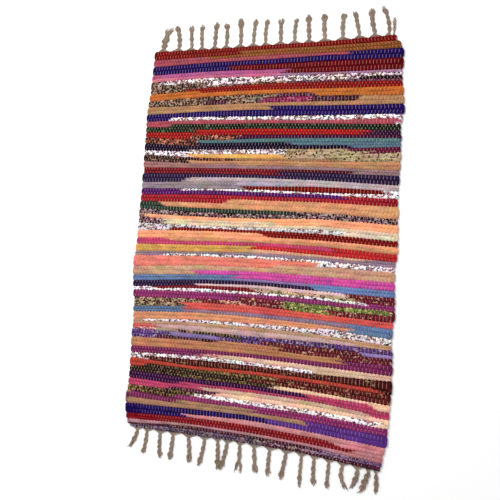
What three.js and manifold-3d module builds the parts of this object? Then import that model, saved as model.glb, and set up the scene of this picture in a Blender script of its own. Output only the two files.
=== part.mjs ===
// A rag dhurrie: a flat woven rug whose warp ends are gathered into tassels at both ends.
// Millimetres. X runs across the rug along its picks, Y along its length, Z up from the floor.
import * as THREE from 'three';
import Module from 'manifold-3d';
import { mergeVertices } from 'three/addons/utils/BufferGeometryUtils.js';

// The weave: picks of rag are raised as ribs.
const PICKS = 112;
const RIB_HEIGHT = 6;
const RIB_UNEVENNESS = 0.5;
const VALLEY_HEIGHT = 4.4;
const COLUMNS = 8;

// The rounded selvedges, where each rag turns back.
const SELVEDGE_WIDTH = 3;
const SELVEDGE_HEIGHT = 2.6;
const TURN_LENGTH = 1.6;
const FOOT_INSET = 1.2;

// How the rug lies, row by row from its far end to its near end: the place of a pick on the centre line,
// the x of its left and right ends, and how far those ends fall below the centre.
const LIE = [
  { mid: 447, left: -297, leftFall: -3, right: 279, rightFall: 0 },
  { mid: 421, left: -298, leftFall: -1, right: 295, rightFall: 0 },
  { mid: 374, left: -300, leftFall: -2, right: 295, rightFall: 1 },
  { mid: 330, left: -305, leftFall: -3, right: 300, rightFall: 4 },
  { mid: 290, left: -308, leftFall: -1, right: 304, rightFall: 6 },
  { mid: 278, left: -307, leftFall: 1, right: 298, rightFall: 7 },
  { mid: 215, left: -307, leftFall: 0, right: 302, rightFall: 8 },
  { mid: 110, left: -307, leftFall: 2, right: 301, rightFall: 10 },
  { mid: 8, left: -310, leftFall: 5, right: 308, rightFall: 7 },
  { mid: -30, left: -313, leftFall: 9, right: 303, rightFall: 6 },
  { mid: -60, left: -315, leftFall: 13, right: 304, rightFall: 10 },
  { mid: -112, left: -310, leftFall: 18, right: 309, rightFall: 12 },
  { mid: -170, left: -305, leftFall: 17, right: 305, rightFall: 14 },
  { mid: -230, left: -305, leftFall: 15, right: 310, rightFall: 11 },
  { mid: -320, left: -304, leftFall: 13, right: 310, rightFall: 13 },
  { mid: -383, left: -308, leftFall: 18, right: 307, rightFall: 15 },
  { mid: -412, left: -304, leftFall: 15, right: 301, rightFall: 12 },
  { mid: -430, left: -296, leftFall: 11, right: 302, rightFall: 10 },
  { mid: -445, left: -279, leftFall: 3, right: 298, rightFall: 5 },
];
const FALL_POWER = 1.8;

// The fringe: a strip of bare warp along each end, parted from the cloth, carries the tassels.
const STRIP_GAP = 0.3;
const STRIP_WIDTH = 2.8;
const STRIP_HEIGHT = 3;
const WEB_WIDTH = 17;
const WEB_HEIGHT = 2.6;
const NECK_WIDTH = 4.4;
const NECK_REACH = 9;
const LOCK_WIDTH = 3.7;
const LOCK_HEIGHT = 3.4;
const LOCK_SPACING = 4.5;
const TIP_WIDTH = 1.6;
const TIP_HEIGHT = 1.8;

// Each tassel from left to right: the x of its root and of its tip, how far it reaches out from the cloth,
// how far it bows to the right on the way, how far its two locks part at the tip, and its thickness.
const FAR_TASSELS = [
  { root: -271, tip: -264, reach: 50, bow: -4, fork: 8, size: 1.3 },
  { root: -232, tip: -241, reach: 54, bow: 3, fork: 1, size: 0.9 },
  { root: -199, tip: -204, reach: 52, bow: -1, fork: 5, size: 1 },
  { root: -172, tip: -176, reach: 53, bow: -2, fork: 1, size: 1 },
  { root: -140, tip: -139, reach: 57, bow: -1, fork: 2, size: 1.1 },
  { root: -111, tip: -111, reach: 52, bow: 1, fork: 2, size: 1 },
  { root: -75, tip: -79, reach: 64, bow: 1, fork: 5, size: 1.1 },
  { root: -43, tip: -40, reach: 60, bow: -2, fork: 2, size: 0.9 },
  { root: -13, tip: -12, reach: 58, bow: -3, fork: 1, size: 0.9 },
  { root: 23, tip: 20, reach: 56, bow: -1, fork: 2, size: 1 },
  { root: 56, tip: 57, reach: 54, bow: -3, fork: 1, size: 0.9 },
  { root: 89, tip: 84, reach: 61, bow: -1, fork: 2, size: 1.1 },
  { root: 125, tip: 120, reach: 59, bow: -2, fork: 2, size: 1.1 },
  { root: 165, tip: 164, reach: 56, bow: -3, fork: 2, size: 1 },
  { root: 201, tip: 187, reach: 57, bow: 0, fork: 1, size: 0.9 },
  { root: 235, tip: 223, reach: 60, bow: -3, fork: 2, size: 1.1 },
  { root: 263, tip: 247, reach: 62, bow: 4, fork: 2, size: 0.9 },
  { root: 272, tip: 271, reach: 38, bow: 1, fork: 0, size: 0.7 },
];
const NEAR_TASSELS = [
  { root: -270, tip: -290, reach: 44, bow: 2, fork: 2, size: 1.1 },
  { root: -246, tip: -253, reach: 53, bow: 1, fork: 2, size: 1 },
  { root: -211, tip: -208, reach: 57, bow: -2, fork: 2, size: 1 },
  { root: -177, tip: -182, reach: 57, bow: 0, fork: 2, size: 1.1 },
  { root: -139, tip: -132, reach: 57, bow: 1, fork: 2, size: 1.1 },
  { root: -97, tip: -109, reach: 61, bow: 2, fork: 1, size: 1 },
  { root: -65, tip: -61, reach: 63, bow: 0, fork: 1, size: 1.1 },
  { root: -41, tip: -47, reach: 57, bow: 1, fork: 1, size: 0.9 },
  { root: -12, tip: -12, reach: 62, bow: 1, fork: 10, size: 1 },
  { root: 22, tip: 29, reach: 55, bow: -1, fork: 6, size: 1 },
  { root: 59, tip: 57, reach: 57, bow: -1, fork: 1, size: 0.9 },
  { root: 97, tip: 87, reach: 58, bow: 0, fork: 2, size: 1 },
  { root: 131, tip: 130, reach: 65, bow: -1, fork: 1, size: 0.8 },
  { root: 159, tip: 161, reach: 57, bow: -2, fork: 1, size: 0.9 },
  { root: 191, tip: 190, reach: 55, bow: -1, fork: 1, size: 0.8 },
  { root: 222, tip: 229, reach: 48, bow: -8, fork: 1, size: 0.9 },
  { root: 252, tip: 240, reach: 42, bow: 3, fork: 1, size: 0.8 },
  { root: 278, tip: 261, reach: 46, bow: -1, fork: 1, size: 1 },
  { root: 288, tip: 291, reach: 43, bow: 1, fork: 0, size: 0.8 },
];

const wasm = await Module();
wasm.setup();

// The lie of the pick whose middle is at mid.
function lieAt(mid) {
  const next = Math.max(1, LIE.findIndex((row) => row.mid <= mid + 1e-6));
  const before = LIE[next - 1];
  const after = LIE[next];
  const share = (before.mid - mid) / (before.mid - after.mid);
  const lie = {};
  for (const name of Object.keys(before)) {
    lie[name] = THREE.MathUtils.lerp(before[name], after[name], share);
  }
  return lie;
}

// The y of a point of that pick at x.
function pickY(lie, x) {
  const fall = x < 0 ? lie.leftFall : lie.rightFall;
  const side = x < 0 ? lie.left : lie.right;
  return lie.mid - fall * Math.pow(Math.min(1, x / side), FALL_POWER);
}

// The x values of the points across a pick: the selvedge, an even spread, and the other selvedge.
function pickXs(lie, turn) {
  const left = lie.left + SELVEDGE_WIDTH;
  const right = lie.right - SELVEDGE_WIDTH;
  const xs = [lie.left - turn];
  for (let column = 0; column < COLUMNS; column += 1) {
    xs.push(THREE.MathUtils.lerp(left, right, column / (COLUMNS - 1)));
  }
  xs.push(lie.right + turn);
  return xs;
}

function solid(positions, triangles) {
  const geometry = new THREE.BufferGeometry();
  geometry.setAttribute('position', new THREE.Float32BufferAttribute(positions, 3));
  geometry.setIndex(triangles);
  return geometry;
}

// The cloth: a ribbed top face, rounded selvedges and a flat underside.
function wovenBody() {
  const far = LIE[0].mid;
  const near = LIE[LIE.length - 1].mid;
  const rows = 2 * PICKS + 1;
  const across = COLUMNS + 2;
  const positions = [];
  const triangles = [];
  for (let row = 0; row < rows; row += 1) {
    const lie = lieAt(THREE.MathUtils.lerp(far, near, row / (rows - 1)));
    const isRib = row % 2 === 1;
    const xs = pickXs(lie, isRib ? TURN_LENGTH : 0);
    xs.forEach((x, column) => {
      const atSelvedge = column === 0 || column === across - 1;
      const unevenness = RIB_UNEVENNESS * Math.sin(row * 1.3 + column * 0.9);
      const crown = isRib ? RIB_HEIGHT + unevenness : VALLEY_HEIGHT;
      positions.push(x, pickY(lie, x), atSelvedge ? SELVEDGE_HEIGHT : crown);
    });
  }
  for (let row = 0; row < rows - 1; row += 1) {
    for (let column = 0; column < across - 1; column += 1) {
      const a = row * across + column;
      const b = a + across;
      triangles.push(a, b, a + 1, b, b + 1, a + 1);
    }
  }

  // The rim of the top face, counter-clockwise seen from above, stands on a flat foot a little inside it.
  const rim = [];
  for (let row = 0; row < rows; row += 1) {
    rim.push(row * across);
  }
  for (let column = 1; column < across; column += 1) {
    rim.push((rows - 1) * across + column);
  }
  for (let row = rows - 2; row >= 0; row -= 1) {
    rim.push(row * across + across - 1);
  }
  for (let column = across - 2; column > 0; column -= 1) {
    rim.push(column);
  }
  const firstFoot = positions.length / 3;
  const footOutline = rim.map((index) => {
    const x = positions[3 * index];
    const y = positions[3 * index + 1];
    return new THREE.Vector2(x - Math.sign(x) * FOOT_INSET, y - Math.sign(y) * FOOT_INSET * (y / far) ** 40);
  });
  for (const point of footOutline) {
    positions.push(point.x, point.y, 0);
  }
  for (const [a, b, c] of THREE.ShapeUtils.triangulateShape(footOutline, [])) {
    triangles.push(firstFoot + a, firstFoot + c, firstFoot + b);
  }
  rim.forEach((top, step) => {
    const next = (step + 1) % rim.length;
    const foot = firstFoot + step;
    const nextFoot = firstFoot + next;
    triangles.push(top, foot, rim[next], foot, nextFoot, rim[next]);
  });
  return solid(positions, triangles);
}

// A flat-bottomed strand on the floor along a path of { x, y, width, height }.
function strand(path) {
  const positions = [];
  const triangles = [];
  path.forEach((point, step) => {
    const before = path[Math.max(0, step - 1)];
    const after = path[Math.min(path.length - 1, step + 1)];
    const along = new THREE.Vector2(after.x - before.x, after.y - before.y).normalize();
    const half = point.width / 2;
    for (const [side, z] of [[1, 0], [-1, 0], [-1, point.height], [1, point.height]]) {
      positions.push(point.x - side * half * along.y, point.y + side * half * along.x, z);
    }
  });
  for (let step = 0; step < path.length - 1; step += 1) {
    for (let side = 0; side < 4; side += 1) {
      const a = 4 * step + side;
      const b = 4 * step + (side + 1) % 4;
      triangles.push(a, a + 4, b, b, a + 4, b + 4);
    }
  }
  const last = 4 * (path.length - 1);
  triangles.push(0, 1, 2, 0, 2, 3, last, last + 2, last + 1, last, last + 3, last + 2);
  return solid(positions, triangles);
}

function toManifold(geometry) {
  const merged = mergeVertices(geometry, 1e-4);
  const manifold = new wasm.Manifold(new wasm.Mesh({
    numProp: 3,
    vertProperties: new Float32Array(merged.attributes.position.array),
    triVerts: new Uint32Array(merged.index.array),
  }));
  return manifold;
}

function join(geometries) {
  const joined = geometries.map(toManifold).reduce((whole, piece) => whole.add(piece));
  const mesh = joined.getMesh();
  return solid(Array.from(mesh.vertProperties), Array.from(mesh.triVerts));
}

// One tassel: a web where the warp ends fan together, then two locks side by side that part at the tip.
function tassel(row, rootY, outward) {
  const tipY = rootY + outward * row.reach;
  const neckShare = NECK_REACH / row.reach;
  const pointAt = (share, aside) => ({
    x: THREE.MathUtils.lerp(row.root, row.tip, share) + row.bow * Math.sin(Math.PI * share) + aside,
    y: THREE.MathUtils.lerp(rootY, tipY, share),
  });
  const neckWidth = NECK_WIDTH * row.size;
  const web = [
    { ...pointAt(0, 0), width: WEB_WIDTH, height: WEB_HEIGHT },
    { ...pointAt(neckShare / 3, 0), x: row.root, width: (WEB_WIDTH + 2 * neckWidth) / 3, height: WEB_HEIGHT },
    { ...pointAt(neckShare, 0), width: neckWidth, height: WEB_HEIGHT },
    { ...pointAt(neckShare * 1.5, 0), width: neckWidth * 0.8, height: WEB_HEIGHT },
  ];
  const locks = [-1, 1].map((side) => {
    const spacing = LOCK_SPACING * row.size / 2;
    const width = LOCK_WIDTH * row.size;
    return [
      { ...pointAt(neckShare * 0.8, side * 0.2 * spacing), width: width * 0.55, height: WEB_HEIGHT },
      { ...pointAt(neckShare * 1.7, side * spacing), width: width * 0.9, height: LOCK_HEIGHT },
      { ...pointAt(0.5, side * spacing), width, height: LOCK_HEIGHT },
      { ...pointAt(0.78, side * spacing), width: width * 0.95, height: LOCK_HEIGHT },
      { ...pointAt(1, side * (spacing + row.fork / 2)), width: TIP_WIDTH, height: TIP_HEIGHT },
    ];
  });
  return [web, ...locks].map(strand);
}

// The fringe of one end: the strip beside the cloth's last pick and the tassels that grow out of it.
function fringe(lie, outward, tassels) {
  const offset = outward * (STRIP_GAP + STRIP_WIDTH / 2);
  const strip = pickXs(lie, 0).map((x) => ({
    x,
    y: pickY(lie, x) + offset,
    width: STRIP_WIDTH,
    height: STRIP_HEIGHT,
  }));
  const pieces = tassels.flatMap((row) => tassel(row, pickY(lie, row.root) + offset, outward));
  return join([strand(strip), ...pieces]);
}

const ragCloth = new THREE.MeshStandardMaterial({ color: 0x8f4a45, roughness: 0.92, metalness: 0 });
const warpCotton = new THREE.MeshStandardMaterial({ color: 0xa59585, roughness: 0.95, metalness: 0 });

function mesh(name, geometry, material) {
  const piece = new THREE.Mesh(geometry, material);
  piece.name = name;
  return piece;
}

const rug = new THREE.Group();
rug.add(mesh('woven_body', wovenBody(), ragCloth));
rug.add(mesh('far_fringe', fringe(LIE[0], 1, FAR_TASSELS), warpCotton));
rug.add(mesh('near_fringe', fringe(LIE[LIE.length - 1], -1, NEAR_TASSELS), warpCotton));

// The origin is the middle of the rug's underside, tassels included.
const centre = new THREE.Box3().setFromObject(rug).getCenter(new THREE.Vector3());
for (const piece of rug.children) {
  piece.position.set(-centre.x, -centre.y, 0);
}

export default rug;
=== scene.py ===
# A rag dhurrie, laid flat: cotton warp, torn-cloth weft and a tasselled fringe at both ends.
import math

import bpy
import numpy as np
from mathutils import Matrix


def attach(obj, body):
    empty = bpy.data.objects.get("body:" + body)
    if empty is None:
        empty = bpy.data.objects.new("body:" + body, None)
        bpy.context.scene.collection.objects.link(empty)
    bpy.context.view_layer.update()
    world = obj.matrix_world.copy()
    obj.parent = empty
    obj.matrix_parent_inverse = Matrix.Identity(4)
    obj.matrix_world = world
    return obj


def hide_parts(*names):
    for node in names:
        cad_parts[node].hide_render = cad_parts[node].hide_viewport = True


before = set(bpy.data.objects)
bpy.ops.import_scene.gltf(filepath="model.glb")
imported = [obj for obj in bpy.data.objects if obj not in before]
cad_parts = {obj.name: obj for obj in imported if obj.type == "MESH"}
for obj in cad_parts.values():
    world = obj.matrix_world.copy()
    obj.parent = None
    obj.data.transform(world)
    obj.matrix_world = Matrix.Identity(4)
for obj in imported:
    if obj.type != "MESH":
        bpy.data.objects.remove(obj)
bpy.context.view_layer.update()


# The rug as it lies
# It lies flat on the floor. Its sides wander, and its weft lines bend, because the cloth was beaten up
# harder in some places than in others. Sizes are in millimetres from the middle of the loom's cloth.
MM = 0.001
FROM_LOOM_TO_FRAME = (2.54, -0.14)
SIDES = [
    # a weft line's height at the middle, and the left and right ends of that line
    (447, -297, 279),
    (421, -298, 295),
    (374, -300, 295),
    (330, -305, 300),
    (290, -308, 304),
    (278, -307, 298),
    (215, -307, 302),
    (110, -307, 301),
    (8, -310, 308),
    (-30, -313, 303),
    (-60, -315, 304),
    (-112, -310, 309),
    (-170, -305, 305),
    (-230, -305, 310),
    (-320, -304, 310),
    (-383, -308, 307),
    (-412, -304, 301),
    (-430, -296, 302),
    (-445, -279, 298),
]
# At five places across, how high the cloth lies beside the near edge of a pick, read against a ruler.
READINGS = {
    -270: (
        (0, 449), (2, 430), (4, 413), (6, 393), (8, 376), (9, 364), (12, 347), (14, 331), (16, 315),
        (18, 298), (20, 281), (22, 267), (24, 253), (26, 241), (28, 226), (30, 210), (32, 199), (34, 184),
        (36, 170), (38, 156), (40, 136), (42, 120), (44, 106), (46, 89), (48, 70), (49, 59), (50, 50),
        (52, 37), (54, 21), (56, 3), (58, -12), (60, -29), (62, -39), (64, -64), (66, -84), (68, -98),
        (70, -112), (72, -121), (74, -138), (76, -158), (78, -172), (80, -189), (82, -200), (84, -213),
        (86, -233), (88, -254), (90, -269), (92, -283), (94, -301), (96, -314), (98, -331), (100, -346),
        (102, -361), (103, -375), (104, -389), (106, -411), (108, -425), (109, -433), (110, -437),
        (111, -440), (112, -444),
    ),
    -140: (
        (0, 447), (2, 431), (3, 423), (4, 416), (6, 395), (8, 380), (10, 361), (11, 357), (13, 346),
        (14, 336), (15, 327), (16, 316), (18, 301), (19, 288), (20, 281), (21, 271), (23, 258), (25, 245),
        (26, 233), (27, 226), (29, 211), (31, 201), (32, 192), (33, 184), (34, 177), (36, 169), (38, 156),
        (39, 148), (40, 138), (42, 121), (43, 118), (44, 108), (46, 91), (47, 76), (48, 66), (49, 56),
        (50, 49), (52, 36), (53, 30), (54, 24), (56, 8), (57, 0), (58, -9), (60, -24), (61, -29),
        (62, -34), (64, -55), (65, -67), (66, -76), (68, -88), (69, -97), (70, -101), (71, -108),
        (72, -116), (74, -132), (75, -141), (77, -156), (78, -163), (80, -180), (81, -186), (82, -194),
        (83, -206), (84, -212), (85, -222), (86, -227), (88, -247), (90, -262), (91, -271), (92, -286),
        (93, -293), (94, -299), (95, -306), (96, -314), (97, -324), (99, -339), (100, -345), (101, -354),
        (102, -366), (104, -383), (105, -395), (106, -402), (108, -416), (109, -421), (110, -428),
        (111, -434), (112, -440),
    ),
    0: (
        (0, 447), (1, 438), (3, 424), (4, 414), (5, 404), (6, 391), (7, 383), (8, 375), (10, 364),
        (11, 360), (13, 346), (14, 337), (15, 328), (16, 317), (18, 301), (19, 286), (20, 278), (21, 270),
        (23, 258), (25, 244), (26, 236), (27, 227), (29, 212), (31, 201), (32, 191), (35, 175), (36, 167),
        (38, 154), (39, 147), (40, 139), (41, 128), (42, 121), (43, 115), (44, 106), (45, 97), (47, 75),
        (48, 66), (49, 56), (50, 49), (52, 36), (53, 30), (54, 24), (56, 8), (57, 3), (58, -4), (59, -11),
        (60, -20), (61, -27), (62, -33), (64, -52), (65, -61), (67, -78), (68, -84), (69, -91), (70, -98),
        (71, -107), (72, -112), (73, -119), (75, -137), (77, -153), (78, -162), (80, -176), (81, -184),
        (82, -193), (83, -205), (85, -220), (88, -243), (89, -251), (90, -261), (91, -268), (92, -280),
        (93, -288), (94, -296), (95, -304), (96, -311), (97, -320), (98, -327), (100, -346), (101, -355),
        (102, -362), (104, -377), (105, -387), (106, -398), (108, -414), (109, -420), (110, -426),
        (111, -432), (112, -437),
    ),
    140: (
        (0, 446), (1, 436), (3, 421), (4, 416), (5, 403), (7, 378), (8, 374), (10, 361), (11, 357),
        (13, 343), (15, 327), (16, 315), (17, 305), (19, 284), (20, 274), (21, 266), (23, 254), (25, 242),
        (26, 235), (27, 226), (28, 217), (29, 211), (32, 188), (35, 172), (36, 165), (37, 157), (39, 143),
        (41, 129), (42, 116), (43, 112), (44, 105), (45, 96), (47, 73), (49, 60), (51, 45), (53, 28),
        (55, 14), (57, 1), (58, -8), (59, -17), (60, -22), (61, -29), (62, -34), (63, -42), (65, -63),
        (67, -80), (69, -94), (70, -101), (71, -107), (72, -112), (73, -123), (75, -142), (77, -155),
        (78, -164), (80, -175), (81, -185), (82, -192), (83, -202), (84, -213), (86, -232), (88, -243),
        (89, -252), (90, -263), (91, -270), (92, -280), (93, -288), (95, -306), (96, -314), (98, -327),
        (100, -345), (101, -354), (103, -370), (105, -391), (106, -402), (108, -416), (109, -422),
        (110, -428), (111, -434), (112, -438),
    ),
    265: (
        (0, 449), (1, 437), (3, 421), (5, 401), (7, 377), (8, 371), (9, 368), (10, 358), (11, 353),
        (13, 341), (15, 323), (17, 304), (19, 283), (20, 274), (21, 262), (23, 250), (25, 240), (26, 233),
        (27, 224), (29, 213), (31, 201), (33, 183), (35, 166), (37, 155), (39, 136), (41, 123), (42, 115),
        (43, 107), (45, 91), (47, 66), (49, 54), (51, 38), (53, 21), (55, 10), (57, -6), (59, -22),
        (61, -34), (63, -43), (65, -65), (67, -82), (69, -96), (71, -112), (73, -124), (74, -134),
        (75, -146), (77, -159), (79, -179), (81, -192), (83, -203), (84, -213), (85, -221), (87, -232),
        (89, -254), (91, -267), (92, -284), (93, -292), (95, -312), (96, -317), (98, -335), (100, -350),
        (101, -360), (103, -375), (105, -398), (109, -430), (110, -434), (111, -438), (112, -446),
    ),
}
side_lines = np.array(SIDES, float)[::-1]


def sides_at(y):
    """The left and the right end of the weft line that crosses the middle at y."""
    return [np.interp(y, side_lines[:, 0], side_lines[:, column]) for column in (1, 2)]


# The rag weft
# Strips torn from worn clothes, joined end to end and beaten close. One weft runs back and forth through
# the whole rug and turns at the selvedges, so a new cloth can begin anywhere along a line.
PICKS = 112
WARP_ENDS = 156
RAG_SIDES = 8
RAG_BANDS = {"weft_far": (1, 37), "weft_middle": (38, 75), "weft_near": (76, 112)}
MIDDLE_HEIGHT = 3.0
CRIMP = 0.65
RAG_HALF_HEIGHT = 1.9
LEAST_HALF_HEIGHT, MOST_HALF_HEIGHT = 1.7, 2.1
USUAL_PACK = 8
HEIGHT_PER_PACK = 0.05
FULLNESS_OF_A_PICK = 1.12
FULLNESS_AT_A_CROSSING = 0.1
END_PINCH = 0.96
SELVEDGE_INSET = 3.6
SELVEDGE_BULGE = 1.2
TURN_ANGLES = (28, 90, 152)
TURN_GIRTHS = (0.72, 0.62, 0.72)
TURN_ALONG = (0.975, 0.98, 0.985)
NEW_RAG_ANGLE = 115
ROW_LENGTH = 0.97
EVENING, EVENING_REACH = 22.0, 60
LINE_EVENING, LINE_EVENING_REACH = 28.0, 100
ENOUGH_READINGS = 3
LEFT, RIGHT = -400, 400


def plain(*dye):
    return {"ground": dye, "print_and_painted_shade": dye, "fleck_and_painted_shade": dye, "shares": (0, 0, 0)}


# A ground with a figure and flecks: print on most cloths, painted shade on the foils.
def printed_and_painted_shade(ground, figure_and_painted_shade, figure_and_painted_shade_share, fleck_and_painted_shade, fleck_and_painted_shade_share, shine=0):
    return {"ground": ground, "print_and_painted_shade": figure_and_painted_shade, "fleck_and_painted_shade": fleck_and_painted_shade, "shares": (figure_and_painted_shade_share, fleck_and_painted_shade_share, shine)}


CLOTHS = {
    "brick": plain(126, 20, 19),
    "olive_tan": plain(132, 78, 40),
    "rose": plain(154, 72, 84),
    "royal": plain(38, 20, 92),
    "maroon": plain(106, 12, 25),
    "orchid": plain(156, 80, 124),
    "salmon": plain(218, 130, 144),
    "pink": plain(206, 112, 146),
    "lilac": plain(146, 108, 132),
    # Painted shade: the foils' darker figure and flecks stand in for the shade and dark reflections of a
    # shiny cloth, among its bright white.
    "foil_with_painted_shade": printed_and_painted_shade((255, 238, 240), (122, 82, 80), 0.4, (36, 28, 30), 0.25, shine=0.6),
    "pepper": printed_and_painted_shade((46, 34, 32), (172, 146, 130), 0.4, (84, 58, 42), 0.25),
    "black": plain(34, 24, 29),
    "plum_print": printed_and_painted_shade((98, 40, 70), (152, 112, 118), 0.3, (38, 27, 32), 0.12),
    "orange": plain(190, 108, 50),
    "plum_black": printed_and_painted_shade((58, 28, 38), (94, 38, 68), 0.3, (116, 98, 104), 0.12),
    "magenta_plum": printed_and_painted_shade((146, 48, 92), (90, 28, 66), 0.35, (186, 106, 136), 0.1),
    "tan": plain(170, 128, 94),
    # Painted shade: this foil's darker figure and flecks too.
    "white_foil": printed_and_painted_shade((255, 250, 255), (150, 100, 110), 0.36, (64, 44, 50), 0.15, shine=1),
    "bottle": printed_and_painted_shade((32, 48, 38), (20, 26, 22), 0.35, (104, 116, 84), 0.06),
    "black_brown": printed_and_painted_shade((44, 32, 27), (26, 20, 19), 0.35, (112, 92, 64), 0.06),
    "scarlet": plain(170, 28, 30),
    "purple_black": plain(52, 22, 56),
    "carnival": printed_and_painted_shade((50, 28, 30), (158, 92, 62), 0.3, (200, 134, 112), 0.13),
    "plum_navy": plain(68, 16, 54),
    "teal": plain(88, 128, 132),
    "ink": plain(26, 18, 42),
    "steel": plain(80, 108, 124),
    "cream_fleck": printed_and_painted_shade((202, 176, 146), (146, 130, 88), 0.3, (60, 44, 38), 0.15),
    "plum_maroon": plain(96, 25, 58),
    "mustard": plain(216, 166, 96),
    "pepper_dark": printed_and_painted_shade((34, 21, 23), (76, 52, 46), 0.3, (158, 126, 110), 0.08),
    "peach_tan": plain(202, 146, 108),
    "mauve_pink": plain(174, 126, 124),
    "lilac_grey": plain(164, 132, 138),
    "maroon_black": plain(72, 19, 31),
    "dark_red": plain(112, 20, 34),
    "navy": plain(46, 32, 68),
    "pale_cream": plain(196, 180, 184),
    "pale_blue": plain(190, 178, 200),
    "grey_lilac": plain(156, 142, 150),
    "purple": plain(82, 26, 96),
    "crimson": plain(168, 34, 50),
    "dark_green": plain(48, 64, 56),
    "violet_print": printed_and_painted_shade((40, 26, 32), (146, 98, 124), 0.35, (212, 188, 176), 0.2),
    "peach": plain(232, 160, 122),
    "cream_tan": plain(244, 218, 186),
    "cream": plain(250, 234, 204),
    "magenta_rose": plain(174, 64, 100),
    "red": plain(198, 46, 50),
    "cream_peach": plain(226, 174, 144),
    "slate": plain(128, 110, 126),
    "coral": plain(234, 136, 120),
    "khaki": plain(204, 160, 132),
    "magenta": plain(194, 78, 152),
    "sky": plain(112, 136, 180),
    "lavender": plain(150, 128, 180),
    "cream_pink": plain(206, 176, 174),
    "maroon_print": printed_and_painted_shade((108, 33, 44), (80, 32, 42), 0.4, (196, 158, 134), 0.1),
    "plum": plain(128, 46, 97),
    "green_print": printed_and_painted_shade((112, 128, 62), (208, 194, 130), 0.3, (66, 40, 34), 0.15),
    "cream_stripe": printed_and_painted_shade((228, 172, 156), (124, 50, 50), 0.4, (204, 152, 136), 0.1),
    "olive_print": printed_and_painted_shade((68, 48, 38), (184, 154, 128), 0.42, (112, 108, 84), 0.15),
    "coral_red": plain(236, 102, 96),
    "steel_blue": plain(92, 114, 144),
    "slate_mauve": plain(150, 124, 146),
    "olive_tan2": plain(194, 152, 122),
    "cream_lilac": plain(222, 182, 182),
    "red_patch": plain(188, 92, 84),
    "pink_print": printed_and_painted_shade((204, 134, 140), (148, 40, 50), 0.3, (230, 200, 192), 0.15),
    "cream_olive": plain(180, 164, 136),
    "black_olive": printed_and_painted_shade((46, 31, 28), (98, 88, 44), 0.35, (172, 136, 102), 0.12),
    "violet": printed_and_painted_shade((106, 74, 142), (64, 42, 68), 0.4, (188, 164, 184), 0.1),
    "tan_orange": plain(190, 132, 98),
    "cream_warm": plain(228, 190, 164),
    "brown_black": printed_and_painted_shade((94, 30, 32), (56, 27, 24), 0.4, (150, 118, 92), 0.08),
    "orange_red": plain(196, 74, 60),
    "navy_purple": plain(62, 17, 70),
    "khaki_tan": plain(170, 132, 104),
    "royal_violet": plain(92, 52, 132),
    "dusty_pink": plain(202, 136, 140),
    "crimson_dark": plain(128, 24, 34),
    "lilac_pink": plain(178, 130, 136),
    "violet_grey": printed_and_painted_shade((106, 78, 116), (156, 130, 144), 0.3, (56, 44, 56), 0.12),
    "navy_grey": printed_and_painted_shade((78, 62, 88), (132, 112, 122), 0.3, (36, 28, 32), 0.12),
}
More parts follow.
